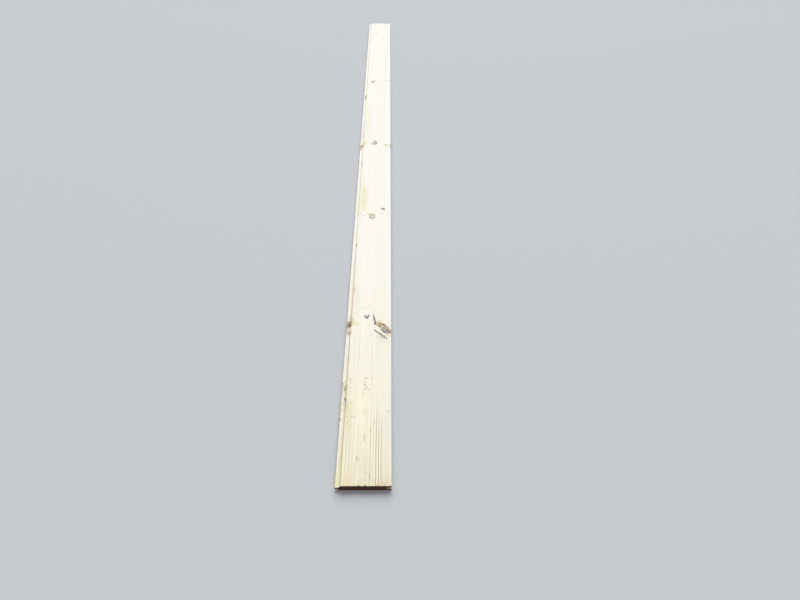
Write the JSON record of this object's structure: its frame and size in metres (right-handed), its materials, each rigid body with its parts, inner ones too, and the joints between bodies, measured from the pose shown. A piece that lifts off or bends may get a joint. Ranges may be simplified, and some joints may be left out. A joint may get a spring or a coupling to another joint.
{
  "type": "tongue and groove cladding board",
  "caption": "Softwood cladding board with a tongue and scooped shoulder along one edge, a groove along the other, square-sawn ends and a flat back.",
  "frame": {"origin": "middle of the board's bounding box, on the flat back that it lies on", "axes": "+Y along the length, +X across the width from the tongue to the groove, +Z out of the weather face"},
  "size_m": [0.12, 3, 0.016],
  "materials": {
    "treated_softwood": "planed and pressure-treated, bare, with knots, checks and fine grain"
  },
  "bodies": {
    "root": {"cladding_board": "treated_softwood"}
  },
  "joints": []
}
